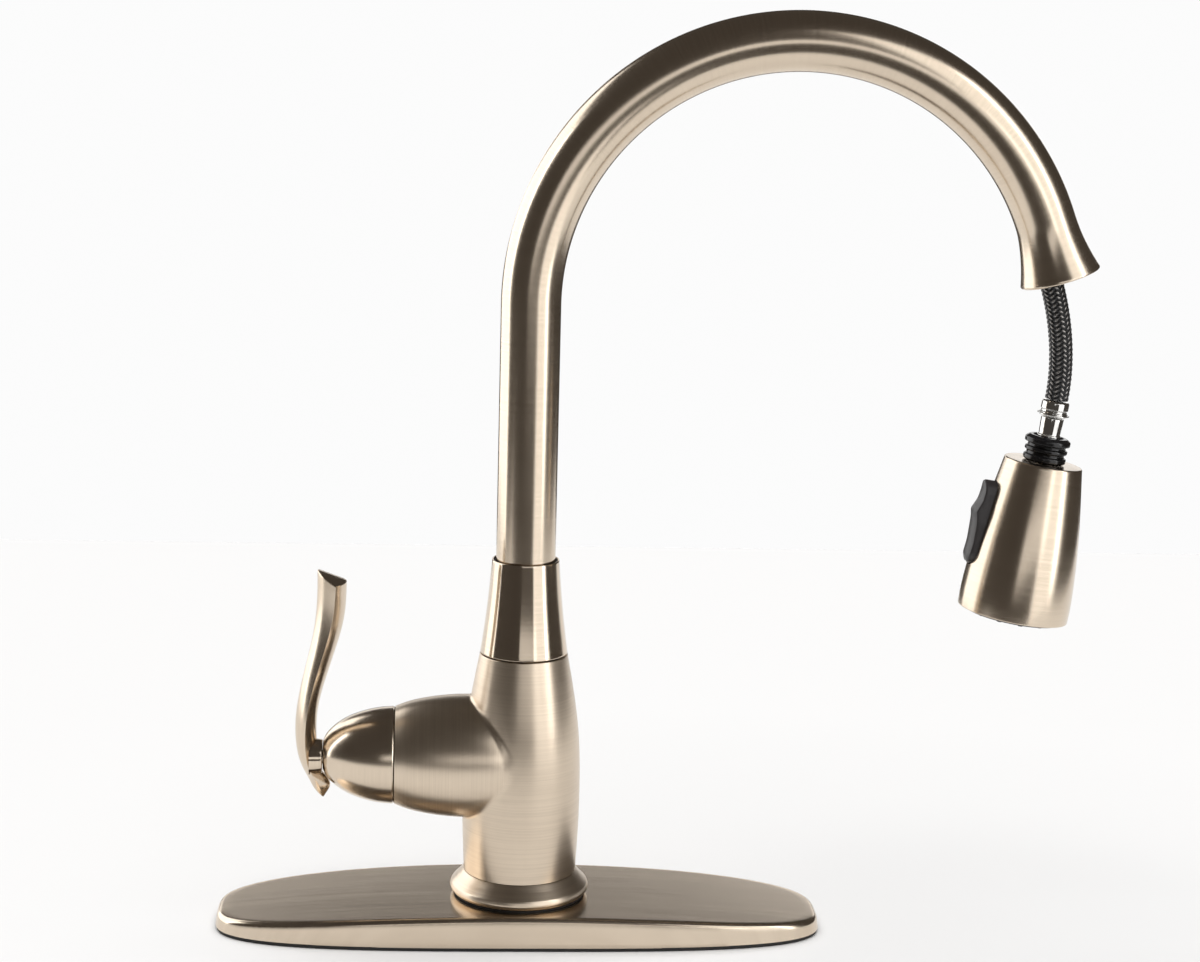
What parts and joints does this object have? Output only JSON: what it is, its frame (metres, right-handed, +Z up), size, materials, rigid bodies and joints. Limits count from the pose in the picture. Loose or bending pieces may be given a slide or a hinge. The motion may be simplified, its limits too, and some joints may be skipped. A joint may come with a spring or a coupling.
{
  "type": "pull-down kitchen faucet",
  "caption": "Single-lever kitchen faucet with a high gooseneck spout, a pull-down spray head hanging on its braided hose, a side lever and a long deck plate.",
  "frame": {"origin": "on the column's axis at deck level, on the flat underside of the inlet block", "axes": "+Z up along the column; +X towards the spray head with the spout as stored; -X is the lever's side; -Y is the front, where the user stands"},
  "size_m": [0.3673, 0.072, 0.3919],
  "materials": {
    "brushed_nickel": "warm satin nickel, brushed round the turned pieces and along the deck plate",
    "polished_chrome": "polished",
    "brass": "machined",
    "steel": "plain turned stainless steel",
    "black_rubber": "matte black rubber",
    "black_plastic": "satin black moulded plastic",
    "white_plastic": "natural acetal",
    "ceramic": "lapped alumina ceramic",
    "braided_hose": "black nylon braid with grey flecks over a rubber hose"
  },
  "bodies": {
    "base": {"deck_gasket": "black_rubber", "deck_plate": "brushed_nickel", "base_seal": "black_rubber", "base_ring": "brushed_nickel", "valve_body": "brushed_nickel", "inlet_block": "brass", "waterway": "brass", "spout_screw": "steel", "hose_lower": "braided_hose", "cartridge_body": "white_plastic", "cartridge_seal": "black_rubber", "fixed_disc": "ceramic", "cartridge_nut": "brass"},
    "spout": {"spout_hub": "brass", "lower_glide_ring": "white_plastic", "upper_glide_ring": "white_plastic", "lower_o_ring": "black_rubber", "upper_o_ring": "black_rubber", "spout_collar": "brushed_nickel", "collar_o_ring": "black_rubber", "spout_tube": "brushed_nickel", "docking_guide": "black_plastic", "hose_riser": "braided_hose"},
    "hose_slide": {"hose_upper": "braided_hose"},
    "hose_end": {"hose_free": "braided_hose", "hose_ferrule": "polished_chrome", "ferrule_clip": "polished_chrome", "hose_nipple": "polished_chrome"},
    "spray_head": {"docking_collar": "black_plastic", "head_shell": "brushed_nickel", "water_core": "white_plastic", "check_valve": "white_plastic", "diverter_spool": "black_plastic", "button_bracket": "black_plastic", "button_pin": "steel", "nozzle_mat": "black_rubber", "spray_face": "black_plastic", "aerator": "steel"},
    "rocker": {"spray_button": "black_plastic"},
    "temperature": {"cartridge_rotor": "brass", "moving_disc": "ceramic"},
    "handle": {"handle_dome": "brushed_nickel", "handle_hub": "brass", "handle_pin": "steel", "handle_screw": "steel", "screw_plug": "black_plastic", "handle_neck": "brushed_nickel", "handle_lever": "brushed_nickel"}
  },
  "joints": [
    {"name": "spout_swivel", "type": "hinge", "parent": "base", "child": "spout", "pos_m": [0, 0, 0.12], "axis": [0, 0, 1], "range_deg": [-180, 0]},
    {"name": "hose_pull", "type": "slide", "parent": "spout", "child": "hose_slide", "axis": [0.314, 0, -0.9494], "range_m": [0, 0.1], "deforming": ["hose_upper"]},
    {"name": "hose_dock", "type": "hinge", "parent": "hose_slide", "child": "hose_end", "pos_m": [0.05587, 0, 0.25086], "axis": [0, -1, 0], "range_deg": [0, 26.7], "deforming": ["hose_free"]},
    {"name": "head_spin", "type": "hinge", "parent": "hose_end", "child": "spray_head", "pos_m": [0.2185, 0, 0.2062], "axis": [0.1461, 0, 0.9893], "continuous": true},
    {"name": "spray_rocker", "type": "hinge", "parent": "spray_head", "child": "rocker", "pos_m": [0.19971, 0, 0.1789], "axis": [0, 1, 0], "range_deg": [-3, 3]},
    {"name": "temperature_turn", "type": "hinge", "parent": "base", "child": "temperature", "pos_m": [-0.0624, 0, 0.075], "axis": [1, 0, 0], "range_deg": [-45, 45]},
    {"name": "flow_tilt", "type": "hinge", "parent": "temperature", "child": "handle", "pos_m": [-0.0624, 0, 0.075], "axis": [0, -1, 0], "range_deg": [0, 20]}
  ]
}
